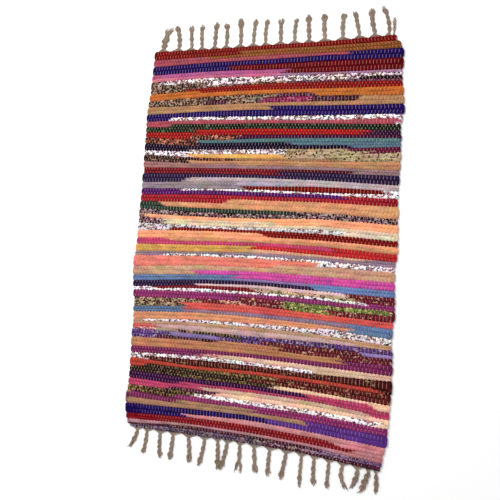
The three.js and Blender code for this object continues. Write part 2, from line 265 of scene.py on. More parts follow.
# Each rag in the order it was woven: its cloth, the pick it ends on, where on it, and how high it packs.
# Odd picks run from right to left, even ones from left to right.
RAGS = [
    ("brick", 2, -70, 10.5), ("olive_tan", 3, -150, 7), ("rose", 4, 180, 8.3), ("royal", 6, -95, 10.8),
    ("maroon", 7, 40, 11), ("orchid", 7, LEFT, 8), ("salmon", 8, -230, 7.3), ("pink", 8, 20, 6.8),
    ("lilac", 8, RIGHT, 6.2), ("foil_with_painted_shade", 9, -280, 7.8), ("pepper", 10, -150, 8),
    ("foil_with_painted_shade", 10, 60, 6.4), ("foil_with_painted_shade", 10, 205, 7.2), ("black", 10, RIGHT, 7.5),
    ("plum_print", 11, 45, 5.5), ("pepper", 12, -205, 5.8), ("brick", 13, -170, 6.6),
    ("orange", 15, 110, 8.6), ("plum_black", 15, 20, 9), ("pepper", 15, LEFT, 8.5),
    ("pepper", 16, -150, 8.3), ("plum_black", 16, -95, 9.5), ("pepper", 16, -15, 9.5),
    ("magenta_plum", 16, 105, 10), ("plum_black", 16, 210, 10), ("tan", 18, 10, 9.3),
    ("royal", 20, -240, 10.3), ("white_foil", 20, RIGHT, 7.6), ("rose", 22, -240, 7.5),
    ("bottle", 24, -170, 6.6), ("scarlet", 24, 235, 7.2), ("purple_black", 25, 220, 6.2),
    ("scarlet", 26, -185, 7.2), ("carnival", 26, -60, 6.6), ("plum_navy", 26, RIGHT, 8),
    ("teal", 27, -165, 8), ("carnival", 28, -175, 7.2), ("ink", 28, 65, 8), ("steel", 29, 200, 6.6),
    ("ink", 30, -185, 7.8), ("white_foil", 30, 50, 6.5), ("cream_fleck", 30, 190, 7),
    ("plum_maroon", 31, 235, 6), ("cream_fleck", 31, 50, 7.2), ("white_foil", 32, -185, 6),
    ("mustard", 32, 48, 8.8), ("cream_fleck", 33, 180, 7.4), ("tan", 33, -70, 6.6),
    ("carnival", 33, -185, 7.6), ("pepper_dark", 34, -185, 7.6), ("peach_tan", 34, RIGHT, 7.2),
    ("tan", 35, -60, 7), ("mauve_pink", 36, -140, 6.8), ("lilac_grey", 37, 205, 6.2),
    ("maroon_black", 37, 40, 6.6), ("dark_red", 38, 40, 6.4), ("navy", 40, -190, 9.6),
    ("pale_cream", 41, 60, 8.6), ("pale_blue", 41, -60, 9), ("grey_lilac", 42, -45, 8.2),
    ("brick", 42, 275, 8.6), ("white_foil", 43, -200, 5.2), ("purple", 44, 190, 8.6),
    ("crimson", 46, -80, 7.7), ("peach_tan", 47, -250, 9.6), ("dark_green", 48, 80, 9.6),
    ("violet_print", 49, LEFT, 8), ("violet_print", 50, -287, 6.8), ("peach", 51, 40, 7.4),
    ("cream_tan", 51, -240, 6), ("violet_print", 52, -240, 7.5), ("cream_tan", 52, RIGHT, 6.4),
    ("cream", 53, 190, 7), ("white_foil", 54, -222, 8), ("brick", 55, 10, 7.2),
    ("peach", 56, RIGHT, 7.2), ("peach_tan", 57, -222, 7.4), ("magenta_rose", 58, 170, 8.6),
    ("red", 59, -15, 7.6), ("mustard", 60, -20, 7.6), ("cream_peach", 60, 240, 5),
    ("slate", 62, -235, 7), ("white_foil", 63, 140, 5.2), ("coral", 64, 40, 10.5),
    ("khaki", 65, LEFT, 9), ("khaki", 66, -150, 9.5), ("magenta", 67, -50, 8.8), ("sky", 68, -40, 6),
    ("lavender", 68, 130, 5), ("sky", 69, 135, 6), ("navy", 70, -145, 7.2), ("cream_pink", 70, 205, 6),
    ("maroon_print", 71, 225, 7), ("cream_fleck", 71, 0, 6), ("dark_red", 71, -260, 6.8),
    ("white_foil", 72, 250, 5), ("plum", 74, -40, 7.6), ("maroon_print", 74, 70, 8),
    ("green_print", 74, 300, 8.5), ("maroon_print", 75, 170, 8.4), ("green_print", 75, 70, 8.4),
    ("maroon_print", 75, -30, 8.4), ("cream_stripe", 75, -70, 7), ("maroon_print", 75, -130, 7),
    ("olive_print", 76, -170, 11), ("coral_red", 77, -170, 7.4), ("steel_blue", 78, -170, 7),
    ("slate_mauve", 78, 215, 7.6), ("steel_blue", 79, 215, 9), ("peach", 80, 150, 7.4),
    ("white_foil", 81, -275, 7), ("olive_tan2", 83, 235, 6.6), ("cream_lilac", 83, -240, 8.4),
    ("red_patch", 84, -288, 8), ("pink_print", 84, -240, 7), ("cream_olive", 84, -180, 6),
    ("black_olive", 84, -30, 7), ("violet", 84, RIGHT, 8.5), ("lavender", 85, 245, 6),
    ("maroon_print", 85, 25, 9), ("violet", 85, -80, 9), ("lavender", 85, -200, 6),
    ("violet", 86, -240, 7.8), ("plum_black", 86, -80, 6), ("tan_orange", 86, 65, 7),
    ("maroon_print", 87, 205, 7.4), ("tan_orange", 88, 205, 7.4), ("plum", 90, -120, 8),
    ("pink_print", 90, -75, 8), ("cream_warm", 91, 150, 8), ("white_foil", 92, -265, 7.4),
    ("brown_black", 93, 285, 10), ("orange_red", 94, -265, 8.4), ("black_brown", 94, -150, 8),
    ("black_olive", 94, 60, 8.6), ("brown_black", 95, 0, 8.6), ("black_brown", 96, -180, 7),
    ("black_olive", 96, 60, 8), ("cream_warm", 97, 275, 7), ("magenta_rose", 97, 135, 7.4),
    ("navy_purple", 98, -170, 8.4), ("magenta_rose", 99, 270, 6), ("cream_warm", 99, -110, 8),
    ("magenta_rose", 100, -200, 7), ("plum_black", 100, -75, 7.4), ("cream_warm", 101, 290, 8),
    ("white_foil", 101, -130, 9), ("black_olive", 102, -180, 7), ("plum", 103, 15, 7.6),
    ("khaki_tan", 103, -175, 8), ("plum", 103, LEFT, 9), ("khaki_tan", 104, 135, 8.6),
    ("royal_violet", 105, 50, 9.8), ("royal", 106, -145, 9.4), ("dusty_pink", 107, 200, 9),
    ("crimson_dark", 108, 240, 7), ("dusty_pink", 109, 200, 8), ("lilac_pink", 109, LEFT, 8),
    ("plum_black", 110, 175, 8), ("violet_grey", 111, 150, 8), ("violet_print", 111, 30, 8),
    ("navy_grey", 112, -225, 8), ("navy_grey", 112, 40, 7), ("plum_black", 112, RIGHT, 6),
]
across = np.arange(-330.0, 331.0)


def edges_between(packed):
    """The edges between the picks: read at five places, carried across, and filled in as the rags pack."""
    stations, found, times_read = list(READINGS), [], np.zeros(PICKS + 1, int)
    for station, readings in READINGS.items():
        picks_read, heights = np.array(readings).T
        column = packed[:, int(station - across[0])]
        found.append(np.interp(column, column[picks_read], heights))
        times_read[picks_read] += 1
    pinned = np.flatnonzero(times_read >= ENOUGH_READINGS)
    reach = LINE_EVENING_REACH
    wide = np.arange(across[0] - reach, across[-1] + reach + 1)
    bend = np.exp(-0.5 * (np.arange(-reach, reach + 1) / LINE_EVENING) ** 2)
    lines = []
    for heights in np.array(found).T[pinned]:
        slopes = [(heights[i + 1] - heights[i]) / (stations[i + 1] - stations[i]) for i in (0, -2)]
        line = np.interp(wide, stations, heights)
        line += slopes[0] * np.minimum(wide - stations[0], 0)
        line += slopes[1] * np.maximum(wide - stations[-1], 0)
        lines.append(np.convolve(line, bend / bend.sum(), "valid"))
    lines = np.array(lines)
    edges = [np.interp(packed[:, i], packed[pinned, i], lines[:, i]) for i in range(across.size)]
    return np.array(edges).T


def weave_chart():
    """For each pick and each millimetre across: the rag, and where the edges between the picks lie."""
    cloth = np.zeros((PICKS, across.size), int)
    height = np.zeros((PICKS, across.size))
    pick, here = 1, RIGHT
    for rag, (_, last_pick, last_x, pack) in enumerate(RAGS):
        while True:
            far_side = LEFT if pick % 2 else RIGHT
            end = last_x if pick == last_pick else far_side
            run = (across >= min(here, end)) & (across <= max(here, end))
            cloth[pick - 1, run] = rag
            height[pick - 1, run] = pack
            here = end
            if end == far_side:
                pick += 1
            if end != far_side or pick > last_pick:
                break
    reach = np.arange(-EVENING_REACH, EVENING_REACH + 1)
    evening = np.exp(-0.5 * (reach / EVENING) ** 2)
    padded = np.pad(height, ((0, 0), (EVENING_REACH, EVENING_REACH)), mode="edge")
    height = np.array([np.convolve(row, evening / evening.sum(), "valid") for row in padded])
    return cloth, edges_between(np.vstack([np.zeros(across.size), np.cumsum(height, axis=0)]))


rag_chart, pick_edges = weave_chart()
chance = np.random.default_rng(11)


def wander(count, step, swing):
    """A slow random swing along a thread, one value for each of its points."""
    knots = chance.normal(0, swing, int(count / step) + 3)
    return np.interp(np.arange(count) / step, np.arange(knots.size), knots)


def pick_path(pick):
    """The points of one pick from left to right: place, crimp, size and rag."""
    share = np.linspace(-1, 1, 2 * WARP_ENDS + 1)
    middle = (pick_edges[pick - 1] + pick_edges[pick]) / 2
    left, right = sides_at(middle[across.size // 2])
    x = np.where(share < 0, -share * (left + SELVEDGE_INSET), share * (right - SELVEDGE_INSET))
    height = np.interp(x, across, pick_edges[pick - 1] - pick_edges[pick])
    y = np.interp(x, across, middle) + wander(x.size, 9, 0.22)
    crossing = np.zeros(x.size)
    crossing[1::2] = np.where((np.arange(WARP_ENDS) + pick) % 2 == 0, -1, 1)
    half_width = height / 2 * (FULLNESS_OF_A_PICK + FULLNESS_AT_A_CROSSING * crossing)
    half_height = RAG_HALF_HEIGHT + HEIGHT_PER_PACK * (height - USUAL_PACK)
    half_height = np.clip(half_height, LEAST_HALF_HEIGHT, MOST_HALF_HEIGHT)
    half_height = half_height * (1 + wander(x.size, 5, 0.05)) * (1 + 0.04 * crossing)
    rag = rag_chart[pick - 1, np.rint(x - across[0]).astype(int)]
    slant = np.full(x.size, chance.choice([-1, 1]) * chance.uniform(3, 9))
    return {"x": x, "y": y, "lift": MIDDLE_HEIGHT + CRIMP * crossing, "half_width": half_width,
            "half_height": half_height, "rag": rag, "slant": slant}


def turn_path(end, start, side):
    """The few points in which the weft turns round the outermost warp end into the next pick."""
    angle = np.radians(TURN_ANGLES)
    bulge = SELVEDGE_BULGE * chance.uniform(0.75, 1.25)
    x = (end["x"] + start["x"]) / 2 + side * bulge * np.sqrt(np.sin(angle))
    y = (end["y"] + start["y"]) / 2 + (end["y"] - start["y"]) / 2 * np.cos(angle)
    girth = (end["half_width"] + start["half_width"]) / 2 * np.array(TURN_GIRTHS)
    rag = np.where(angle < np.radians(NEW_RAG_ANGLE), end["rag"], start["rag"])
    return {"x": x, "y": y, "lift": np.full(angle.size, MIDDLE_HEIGHT), "half_width": girth,
            "half_height": np.full(angle.size, RAG_HALF_HEIGHT), "rag": rag, "slant": np.zeros(angle.size)}


def weft_path(first, last):
    """The weft from one pick to another as one run of points."""
    runs = []
    for pick in range(first, last + 1):
        run = pick_path(pick)
        for key in ("half_width", "half_height"):
            run[key][[0, -1]] *= END_PINCH
        step = -1 if pick % 2 else 1
        run = {key: values[::step] for key, values in run.items()}
        run["row"] = np.full(run["x"].size, pick - first)
        run["along"] = np.linspace(0, ROW_LENGTH, run["x"].size)
        if runs:
            before = {key: values[-1] for key, values in runs[-1].items()}
            after = {key: values[0] for key, values in run.items()}
            turn = turn_path(before, after, -step)
            turn["row"] = np.full(len(TURN_ALONG), before["row"])
            turn["along"] = np.array(TURN_ALONG)
            runs.append(turn)
        runs.append(run)
    return {key: np.concatenate([run[key] for run in runs]) for key in runs[0]}


class Wire:
    """One socket of a node tree. Sums and products of wires add Math nodes."""

    def __init__(self, tree, socket):
        self.tree = tree
        self.socket = socket

    def maths(self, operation, first, second=0.0):
        return add_node(self.tree, "ShaderNodeMath", {"operation": operation}, {0: first, 1: second})

    def __add__(self, other):
        return self.maths("ADD", self, other)

    def __radd__(self, other):
        return self.maths("ADD", other, self)

    def __sub__(self, other):
        return self.maths("SUBTRACT", self, other)

    def __rsub__(self, other):
        return self.maths("SUBTRACT", other, self)

    def __mul__(self, other):
        return self.maths("MULTIPLY", self, other)

    def __rmul__(self, other):
        return self.maths("MULTIPLY", other, self)

    def __lt__(self, other):
        return self.maths("LESS_THAN", self, other)

    def sine(self):
        return self.maths("SINE", self)


def add_node(tree, kind, settings=None, sockets=None, out=0):
    """Adds a node: its settings first, then the values and wires of its sockets."""
    node = tree.nodes.new(kind)
    for name, value in (settings or {}).items():
        setattr(node, name, value)
    for name, value in (sockets or {}).items():
        if isinstance(value, Wire):
            tree.links.new(value.socket, node.inputs[name])
        else:
            node.inputs[name].default_value = value
    return Wire(tree, node.outputs[out]) if len(node.outputs) else node


def vector_maths(tree, operation, *terms):
    """Adds a Vector Math node. A length comes out as a number, all else as a vector."""
    out = "Value" if operation == "LENGTH" else "Vector"
    terms = dict(enumerate(terms))
    return add_node(tree, "ShaderNodeVectorMath", {"operation": operation}, terms, out=out)


def mix_colour(tree, share, first, second):
    colours = {0: share, 6: first, 7: second}
    return add_node(tree, "ShaderNodeMix", {"data_type": "RGBA"}, colours, out=2)


def thread_tree():
    """Swells a line of points into a thread: oval, crimped, and crumpled by a fixed noise."""
    tree = bpy.data.node_groups.new("thread", "GeometryNodeTree")
    ways = tree.interface
    ways.new_socket("Line", in_out="INPUT", socket_type="NodeSocketGeometry")
    ways.new_socket("Sides", in_out="INPUT", socket_type="NodeSocketInt")
    ways.new_socket("Crumple", in_out="INPUT", socket_type="NodeSocketFloat")
    ways.new_socket("Crumple Scale", in_out="INPUT", socket_type="NodeSocketFloat")
    ways.new_socket("Fullness", in_out="INPUT", socket_type="NodeSocketFloat")
    ways.new_socket("Material", in_out="INPUT", socket_type="NodeSocketMaterial")
    ways.new_socket("Thread", in_out="OUTPUT", socket_type="NodeSocketGeometry")
    given = tree.nodes.new("NodeGroupInput")
    wires = {socket.name: Wire(tree, socket) for socket in given.outputs if socket.name}

    def named(name, kind):
        return add_node(tree, "GeometryNodeInputNamedAttribute", {"data_type": kind}, {"Name": name})

    place = add_node(tree, "GeometryNodeInputPosition")
    spine = {"Geometry": wires["Line"], "Name": "spine", "Value": place}
    spine = add_node(
        tree, "GeometryNodeStoreNamedAttribute", {"data_type": "FLOAT_VECTOR", "domain": "POINT"}, spine)
    line = add_node(tree, "GeometryNodeMeshToCurve", None, {"Mesh": spine})
    line = add_node(tree, "GeometryNodeSetCurveNormal", {"mode": "Z_UP"}, {"Curve": line})
    ring = add_node(tree, "GeometryNodeCurvePrimitiveCircle", {"mode": "RADIUS"},
                    {"Resolution": wires["Sides"], "Radius": MM})
    tube = add_node(tree, "GeometryNodeCurveToMesh", None,
                    {"Curve": line, "Profile Curve": ring, "Fill Caps": True})
    middle = named("spine", "FLOAT_VECTOR")
    girth = add_node(tree, "ShaderNodeCombineXYZ", None, {
        "X": named("half_width", "FLOAT"), "Y": named("half_width", "FLOAT"),
        "Z": named("half_height", "FLOAT")})
    rise = add_node(tree, "ShaderNodeCombineXYZ", None, {"Z": named("lift", "FLOAT") * MM})
    outward = vector_maths(tree, "SUBTRACT", place, middle)
    sideways = vector_maths(tree, "LENGTH", vector_maths(tree, "MULTIPLY", outward, (1 / MM, 1 / MM, 0.0)))
    upright = vector_maths(tree, "LENGTH", vector_maths(tree, "MULTIPLY", outward, (0.0, 0.0, 1 / MM)))
    corner = 1.0 + sideways * upright * 2.0 * wires["Fullness"]
    body = vector_maths(tree, "MULTIPLY", outward, girth)
    noise = add_node(tree, "ShaderNodeTexNoise", None, {
        "Vector": vector_maths(tree, "ADD", middle, body), "Scale": wires["Crumple Scale"], "Detail": 1.0})
    swell = corner * (1.0 + (noise - 0.5) * 2.0 * wires["Crumple"])
    swell = add_node(tree, "ShaderNodeCombineXYZ", None, {"X": swell, "Y": swell, "Z": swell})
    body = vector_maths(tree, "ADD", vector_maths(tree, "MULTIPLY", body, swell), rise)
    body = vector_maths(tree, "ADD", middle, body)
    tube = add_node(tree, "GeometryNodeSetPosition", None, {"Geometry": tube, "Position": body})
    tube = add_node(tree, "GeometryNodeSetShadeSmooth", None, {"Geometry": tube})
    tube = add_node(tree, "GeometryNodeRealizeInstances", None, {"Geometry": tube})
    tube = add_node(tree, "GeometryNodeSetMaterial", None, {"Geometry": tube, "Material": wires["Material"]})
    tree.links.new(tube.socket, tree.nodes.new("NodeGroupOutput").inputs[0])
    return tree


thread_nodes = thread_tree()
THREAD_INPUTS = {item.name: item.identifier for item in thread_nodes.interface.items_tree
                 if item.in_out == "INPUT"}
WORKING_VALUES = ("spine", "lift", "half_width", "half_height", "along", "row", "point")


def values_of(mesh, layer, field, size):
    """One layer of a mesh as numbers."""
    values = np.zeros(size, np.float32)
    mesh.attributes[layer].data.foreach_get(field, values)
    return values


def strip_map(mesh, sides, rows):
    """Lays each pass of a thread flat as one strip of the map OFBake, cut open along one edge."""
    spots = len(mesh.vertices)
    along = values_of(mesh, "along", "value", spots)
    row = np.rint(values_of(mesh, "row", "value", spots))
    corners = np.zeros(len(mesh.loops), np.int32)
    mesh.loops.foreach_get("vertex_index", corners)
    first = np.zeros(len(mesh.polygons), np.int32)
    mesh.polygons.foreach_get("loop_start", first)
    count = np.diff(np.append(first, corners.size))
    ring, spot = corners // sides, corners % sides
    nearest = np.repeat(np.minimum.reduceat(ring, first), count)
    is_cap = np.repeat(np.minimum.reduceat(ring, first) == np.maximum.reduceat(ring, first), count)
    start_along, start_row = along[nearest * sides], row[nearest * sides]
    u = np.where(row[corners] == start_row, along[corners], start_along + 0.004)
    last_spot = np.repeat(np.maximum.reduceat(spot, first), count)
    first_spot = np.repeat(np.minimum.reduceat(spot, first), count)
    spot = np.where((spot == 0) & (last_spot == sides - 1) & (first_spot == 0) & ~is_cap, sides, spot)
    v = 0.05 + 0.9 * spot / sides
    turn = 2 * np.pi * spot / sides
    u = np.where(is_cap, start_along + 0.008 + 0.002 * np.cos(turn), u)
    v = np.where(is_cap, 0.5 + 0.2 * np.sin(turn), v)
    layer = mesh.uv_layers.new(name="OFBake")
    layer.data.foreach_set("uv", np.column_stack([u, (start_row + v) / rows]).astype(np.float32).ravel())


def thread(name, paths, sides, crumple, crumple_scale, fullness, material, dress=None):
    """Makes one piece from its threads, each a run of points in millimetres, by way of the thread tree."""
    whole = {key: np.concatenate([path[key] for path in paths]) for key in paths[0]}
    count = whole["x"].size
    whole["point"] = np.arange(count)
    line = bpy.data.meshes.new(name)
    spine = np.column_stack([whole["x"] + FROM_LOOM_TO_FRAME[0], whole["y"] + FROM_LOOM_TO_FRAME[1],
                             np.zeros(count)]) * MM
    breaks = np.cumsum([path["x"].size for path in paths])[:-1] - 1
    starts = np.setdiff1d(np.arange(count - 1), breaks)
    line.vertices.add(count)
    line.vertices.foreach_set("co", spine.astype(np.float32).ravel())
    line.edges.add(starts.size)
    line.edges.foreach_set("vertices", np.column_stack([starts, starts + 1]).astype(np.int32).ravel())
    for key, values in whole.items():
        if key in ("x", "y"):
            continue
        layer = line.attributes.new(key, "FLOAT", "POINT")
        layer.data.foreach_set("value", values.astype(np.float32))
    line.update()
    piece = bpy.data.objects.new(name, line)
    bpy.context.scene.collection.objects.link(piece)
    swelling = piece.modifiers.new("thread", "NODES")
    swelling.node_group = thread_nodes
    given = {"Sides": sides, "Crumple": crumple, "Crumple Scale": crumple_scale, "Fullness": fullness,
             "Material": material}
    for key, value in given.items():
        swelling[THREAD_INPUTS[key]] = value
    bpy.context.view_layer.update()
    seen = bpy.context.evaluated_depsgraph_get()
    cloth = bpy.data.meshes.new_from_object(
        piece.evaluated_get(seen), preserve_all_data_layers=True, depsgraph=seen)
    piece.modifiers.clear()
    piece.data = cloth
    bpy.data.meshes.remove(line)
    cloth.name = name
    strip_map(cloth, sides, int(whole["row"].max()) + 1)
    if dress:
        spots = len(cloth.vertices)
        point = np.rint(values_of(cloth, "point", "value", spots)).astype(int)
        place = values_of(cloth, "position", "vector", spots * 3).reshape(-1, 3)
        aside = (place[:, 1] - spine[point, 1]) / (whole["half_width"][point] * MM)
        for key, values in dress(point, aside).items():
            kind, field = {3: ("FLOAT_VECTOR", "vector"), 4: ("FLOAT_COLOR", "color")}[values.shape[1]]
            layer = cloth.attributes.new(key, kind, "POINT")
            layer.data.foreach_set(field, values.astype(np.float32).ravel())
    for key in WORKING_VALUES:
        cloth.attributes.remove(cloth.attributes[key])
    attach(piece, "root")
    return piece


DYE_STRENGTH = 0.97
DYE_DEPTH = 1.07
DYE_PURITY = 1.02
DARKEST_DYE, LIGHTEST_DYE = 0.002, 0.96


def dye(red, green, blue):
    """A cloth colour, given in the 255 steps of a screen, as light: a little deeper and purer, and weaker."""
    screen = np.array([red, green, blue], float) / 255
    light = np.where(screen <= 0.04045, screen / 12.92, ((screen + 0.055) / 1.055) ** 2.4)
    light = light.mean() + (light ** DYE_DEPTH - light.mean()) * DYE_PURITY
    return (*np.clip(light * DYE_STRENGTH, DARKEST_DYE, LIGHTEST_DYE), 1.0)


def attribute(tree, name, out=0):
    return add_node(tree, "ShaderNodeAttribute", {"attribute_name": name}, out=out)


def rag_material():
    """Worn dress cloth: plain or printed, crumpled lengthways, with a slow drift of its colour; its folds
    carry painted shade, and the foils' figure and flecks are painted shade.
    """
    material = bpy.data.materials.new("rag_cloth")
    material.use_nodes = True
    tree = material.node_tree
    tree.nodes.clear()
    place = add_node(tree, "ShaderNodeTexCoord", out="Object")
    shares = add_node(tree, "ShaderNodeSeparateXYZ", None, {0: attribute(tree, "shares", "Vector")})
    fleck_and_painted_shade_share = Wire(tree, shares.socket.node.outputs[1])
    shine = Wire(tree, shares.socket.node.outputs[2])
    bend = {"Vector": place, "Scale": 190.0, "Detail": 1.0}
    bend = add_node(tree, "ShaderNodeTexNoise", None, bend, out=1)
    bent = vector_maths(tree, "ADD", place, vector_maths(tree, "MULTIPLY", bend, (0.004, 0.003, 0.003)))
    cells = add_node(tree, "ShaderNodeTexVoronoi", None, {
        "Vector": vector_maths(tree, "MULTIPLY", bent, (0.75, 1.0, 1.0)), "Scale": 300.0}, out="Color")
    cells = add_node(tree, "ShaderNodeSeparateXYZ", None, {0: cells})
    spread = Wire(tree, cells.socket.node.outputs[1])
    # Figure and flecks: print on most cloths; on the foils, painted shade.
    colour = mix_colour(tree, cells < shares, attribute(tree, "ground"), attribute(tree, "print_and_painted_shade"))
    colour = mix_colour(tree, spread < fleck_and_painted_shade_share, colour, attribute(tree, "fleck_and_painted_shade"))
    along = vector_maths(tree, "MULTIPLY", place, (0.45, 1.0, 1.0))
    drift = {"Vector": along, "Scale": 60.0, "Detail": 2.0}
    drift = add_node(tree, "ShaderNodeTexNoise", None, drift, out=1)
    drift = vector_maths(tree, "MULTIPLY", drift, (0.6, 0.6, 0.6))
    drift = vector_maths(tree, "ADD", drift, (0.7, 0.7, 0.7))
    wear = add_node(tree, "ShaderNodeTexNoise", None, {
        "Vector": vector_maths(tree, "MULTIPLY", place, (0.5, 1.5, 1.0)), "Scale": 85.0, "Detail": 3.0})
    folds = add_node(tree, "ShaderNodeTexNoise", None, {
        "Vector": vector_maths(tree, "MULTIPLY", place, (0.25, 1.0, 1.0)), "Scale": 560.0, "Detail": 2.0})
    colour = vector_maths(tree, "MULTIPLY", colour, drift)
    # Painted shade: the colour is darker where the fold noise, which also raises the bump, is low. The wear
    # noise is tone that differs at random.
    shade = (0.45 + folds * 1.1) * (0.4 + wear * 1.2)
    shade = add_node(tree, "ShaderNodeCombineXYZ", None, {"X": shade, "Y": shade, "Z": shade})
    colour = vector_maths(tree, "MULTIPLY", colour, shade)
    nap = add_node(tree, "ShaderNodeTexNoise", None, {"Vector": place, "Scale": 2400.0, "Detail": 1.0})
    relief = add_node(tree, "ShaderNodeBump", None, {
        "Strength": 0.7, "Distance": 0.0006, "Height": folds + nap * 0.25})
    finish = add_node(tree, "ShaderNodeBsdfPrincipled", None, {
        "Base Color": colour, "Roughness": 0.9 - shine * 0.3, "Specular IOR Level": 0.04,
        "Coat Weight": shine * 0.6, "Coat Roughness": 0.25, "Normal": relief})
    add_node(tree, "ShaderNodeOutputMaterial", None, {"Surface": finish})
    return material


rag_cloth = rag_material()
LEAST_FADE, MOST_FADE = 0.88, 1.1
worn = {name: [] for name in ("ground", "print_and_painted_shade", "fleck_and_painted_shade", "shares")}
for cloth_name, *_ in RAGS:
    fade = chance.uniform(LEAST_FADE, MOST_FADE)
    for name in worn:
        value = CLOTHS[cloth_name][name]
        worn[name].append(value if name == "shares" else dye(*[part * fade for part in value]))
worn = {name: np.array(values) for name, values in worn.items()}
for name, (first_pick, last_pick) in RAG_BANDS.items():
    weft = weft_path(first_pick, last_pick)
    rag, slant = weft.pop("rag"), weft.pop("slant")

    def dress(point, aside):
        """The rag that shows at each place on the thread: where one ends it is torn off at a slant."""
        shows = rag[np.clip(point + np.rint(slant[point] * aside).astype(int), 0, rag.size - 1)]
        return {layer: values[shows] for layer, values in worn.items()}

    band = thread(name, [weft], RAG_SIDES, crumple=0.12, crumple_scale=260.0, fullness=0.24,
                  material=rag_cloth, dress=dress)


# The cotton warp
# Undyed two-ply cotton, stretched on the loom. It shows as a short float over every second pick, and the
# ends next to it show on the picks between. Lint and dye rubbed off the rags have coloured it.
WARP_SIDES = 4
WARP_HALF_WIDTH = 0.64
WARP_HALF_HEIGHT = 0.5
WARP_SWING = 1.5
LINT = 1.0
WARP_HALVES = {"warp_left": (0, 78), "warp_right": (78, 156)}
COTTON = (170, 151, 136)
COTTON_SHADES = (0.86, 1.12)
PLAIN_TINT, TINT_SWING = 0.68, 0.55


def cotton_material(name, rows, turns, linty=False):
    """Two-ply cotton: the plies' twist runs round each thread along its strip of the map, and the twist's
    grooves carry painted shade.
    """
    material = bpy.data.materials.new(name)
    material.use_nodes = True
    tree = material.node_tree
    tree.nodes.clear()
    strips = add_node(tree, "ShaderNodeUVMap", {"uv_map": "OFBake"})
    strips = add_node(tree, "ShaderNodeSeparateXYZ", None, {0: strips})
    around = Wire(tree, strips.socket.node.outputs[1])
    place = add_node(tree, "ShaderNodeTexCoord", out="Object")
    twist = (strips * (2 * math.pi * turns) + around * (4 * math.pi * rows / 0.9)).sine() * 0.5 + 0.5
    grey = add_node(tree, "ShaderNodeTexNoise", None, {"Vector": place, "Scale": 60.0, "Detail": 3.0})
    hairs = add_node(tree, "ShaderNodeTexNoise", None, {"Vector": place, "Scale": 1800.0, "Detail": 2.0})
    tint = add_node(tree, "ShaderNodeTexNoise", None, {"Vector": place, "Scale": 35.0, "Detail": 1.0}, out=1)
    colour = mix_colour(tree, grey, *[dye(*[part * shade for part in COTTON]) for shade in COTTON_SHADES])
    tint = vector_maths(tree, "MULTIPLY", tint, (0.3, 0.3, 0.3))
    tint = vector_maths(tree, "ADD", tint, (0.85, 0.85, 0.85))
    if linty:
        colour = vector_maths(tree, "MULTIPLY", colour, attribute(tree, "rubbed"))
        lint = {0: LINT, 6: attribute(tree, "lint"), 7: colour}
        colour = add_node(tree, "ShaderNodeMix", {"data_type": "RGBA", "blend_type": "SCREEN"}, lint, out=2)
    # Painted shade: the colour darkens along the grooves of the plies' twist and with the hairs, the same
    # pattern that the bump raises.
    shade = 0.7 + twist * 0.25 + hairs * 0.15
    shade = add_node(tree, "ShaderNodeCombineXYZ", None, {"X": shade, "Y": shade, "Z": shade})
    colour = vector_maths(tree, "MULTIPLY", vector_maths(tree, "MULTIPLY", colour, tint), shade)
    relief = add_node(tree, "ShaderNodeBump", None, {
        "Strength": 0.8, "Distance": 0.0003, "Height": twist + hairs * 0.5})
    finish = add_node(tree, "ShaderNodeBsdfPrincipled", None, {
        "Base Color": colour, "Roughness": 0.95, "Specular IOR Level": 0.06, "Normal": relief})
    add_node(tree, "ShaderNodeOutputMaterial", None, {"Surface": finish})
    return material


warp_places = np.array([0.25, 0.75])
figure_and_painted_shade_share, fleck_and_painted_shade_share = worn["shares"][:, :1], worn["shares"][:, 1:2]
# The rag's mean colour, which on the foils takes in their painted shade.
lint = worn["ground"] * (1 - figure_and_painted_shade_share) + worn["print_and_painted_shade"] * figure_and_painted_shade_share
lint = lint * (1 - fleck_and_painted_shade_share) + worn["fleck_and_painted_shade"] * fleck_and_painted_shade_share
rubbed = PLAIN_TINT + TINT_SWING * lint / lint[:, :3].max(axis=1, keepdims=True)


def warp_x(end, y):
    """The place across of a warp end at a height on the cloth."""
    share = 2 * (end + 0.5) / WARP_ENDS - 1
    left, right = sides_at(y)
    return np.where(share < 0, -share * (left + SELVEDGE_INSET), share * (right - SELVEDGE_INSET))


def warp_path(end):
    """One warp end from the far edge of the cloth to the near one."""
    loom_x = float(warp_x(end, 0.0))
    edges = np.array([np.interp(loom_x, across, row) for row in pick_edges])
    y = (edges[:-1, None] + (edges[1:] - edges[:-1])[:, None] * warp_places).ravel()
    over = np.where((end + np.arange(1, PICKS + 1)) % 2 == 0, 1, -1)
    lift = MIDDLE_HEIGHT + WARP_SWING * np.repeat(over, 2)
    x = warp_x(end, y) + wander(y.size, 14, 0.18)
    count = y.size
    crossed = rag_chart[np.repeat(np.arange(PICKS), 2), np.rint(x - across[0]).astype(int)]
    return {"x": x, "y": y, "lift": lift, "half_width": np.full(count, WARP_HALF_WIDTH), "crossed": crossed,
            "half_height": np.full(count, WARP_HALF_HEIGHT), "along": np.linspace(0, ROW_LENGTH, count)}


for name, (first_end, last_end) in WARP_HALVES.items():
    ends = [warp_path(end) for end in range(first_end, last_end)]
    for row, end in enumerate(ends):
        end["row"] = np.full(end["x"].size, row)
    crossed = np.concatenate([end.pop("crossed") for end in ends])
    cotton = cotton_material(name + "_cotton", last_end - first_end, turns=300, linty=True)

    def stains(point, aside):
        """The lint of the rag that each point of the cotton crosses, and the tint that it has rubbed off."""
        return {"lint": lint[crossed[point]], "rubbed": rubbed[crossed[point]]}

    half = thread(name, ends, WARP_SIDES, crumple=0.1, crumple_scale=500.0, fullness=0.0,
                  material=cotton, dress=stains)


